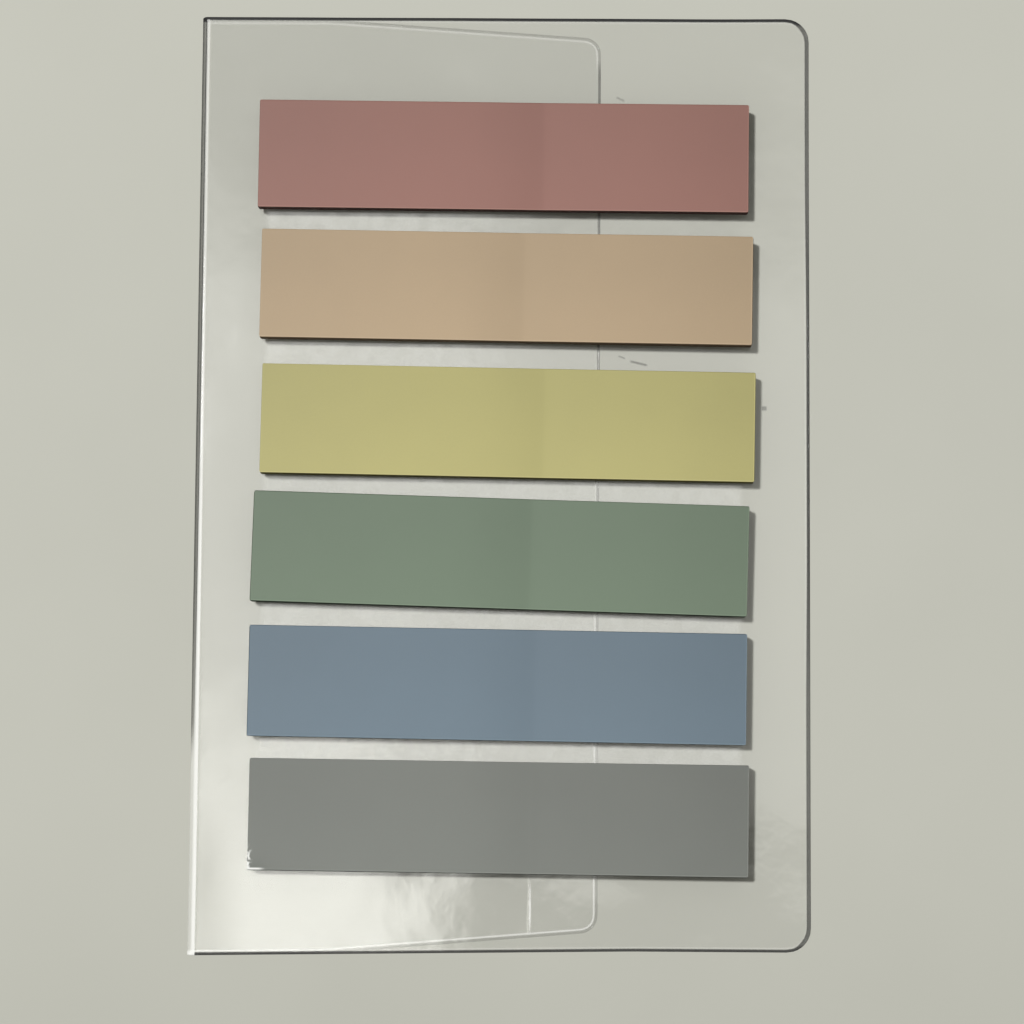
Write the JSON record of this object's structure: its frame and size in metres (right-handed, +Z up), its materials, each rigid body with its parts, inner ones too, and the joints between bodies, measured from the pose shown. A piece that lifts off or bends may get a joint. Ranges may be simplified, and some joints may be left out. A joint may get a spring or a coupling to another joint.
{
  "type": "sticky index tabs",
  "caption": "Clear folded plastic holder carrying rows of coloured film index tabs in pads; its rear flap slips over a page or a cover.",
  "frame": {"origin": "middle of the holder's footprint, on the surface that its flap rests on", "axes": "+X from the fold to the holder's free edge, along the strips towards their free ends; +Y along the rows towards the rose pad; +Z up, away from the surface"},
  "size_m": [0.0562, 0.0856, 0.0025],
  "materials": {
    "clear_film": "clear flexible plastic film, glossy, lightly scuffed",
    "rose_film": "satin coloured film, dusty rose",
    "peach_film": "satin coloured film, peach",
    "yellow_film": "satin coloured film, yellow-green",
    "green_film": "satin coloured film, sage green",
    "blue_film": "satin coloured film, slate blue",
    "grey_film": "satin coloured film, grey"
  },
  "bodies": {
    "root": {"clear_holder": "clear_film", "tabs_rose": "rose_film", "tabs_peach": "peach_film", "tabs_yellow": "yellow_film", "tabs_green": "green_film", "tabs_blue": "blue_film", "tabs_grey": "grey_film"}
  },
  "joints": []
}
